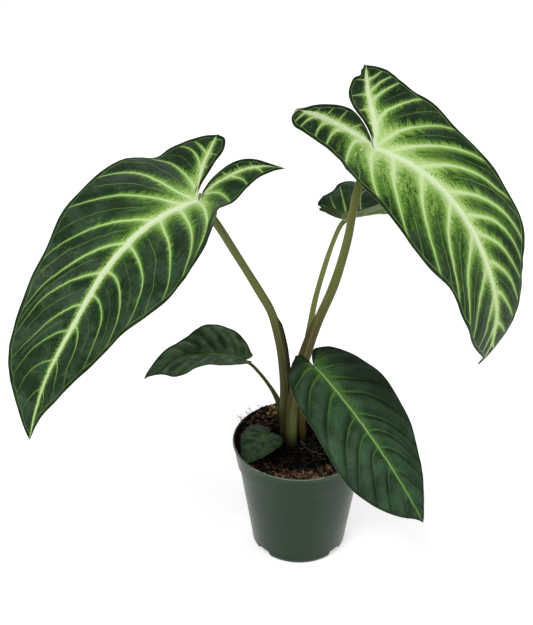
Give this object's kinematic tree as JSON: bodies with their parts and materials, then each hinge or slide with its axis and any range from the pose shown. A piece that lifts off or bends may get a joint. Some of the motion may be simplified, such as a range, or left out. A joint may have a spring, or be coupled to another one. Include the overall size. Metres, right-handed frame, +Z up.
{
  "type": "potted plant",
  "caption": "Potted aroid with big arrow-shaped leaves on long bare stalks, pale feathered veins, soil and a tapered nursery pot.",
  "frame": {"origin": "centre of the pot's underside, on the surface it rests on", "axes": "+Z up; the side seen in the picture looks along -Y; +X to the picture's right"},
  "size_m": [0.5028, 0.3305, 0.5613],
  "materials": {
    "pot": "thin moulded plastic, dark grey-green, low sheen",
    "soil": "damp dark brown mix of bark and fibre",
    "leaf": "satin dark green with near-white veins feathered into yellow-green",
    "leaf_dark": "glossy dark green with thin pale veins",
    "stalk": "smooth olive green with brown mottling low down"
  },
  "bodies": {
    "root": {"pot": "pot", "soil": "soil", "leaf_left": "leaf", "leaf_right": "leaf", "leaf_rear": "leaf", "leaf_front": "leaf_dark", "leaf_low_left": "leaf_dark", "leaf_small": "leaf_dark", "stalk_left": "stalk", "stalk_right": "stalk", "stalk_rear": "stalk", "stalk_front": "stalk", "stalk_low_left": "stalk", "stalk_small": "stalk"}
  },
  "joints": []
}
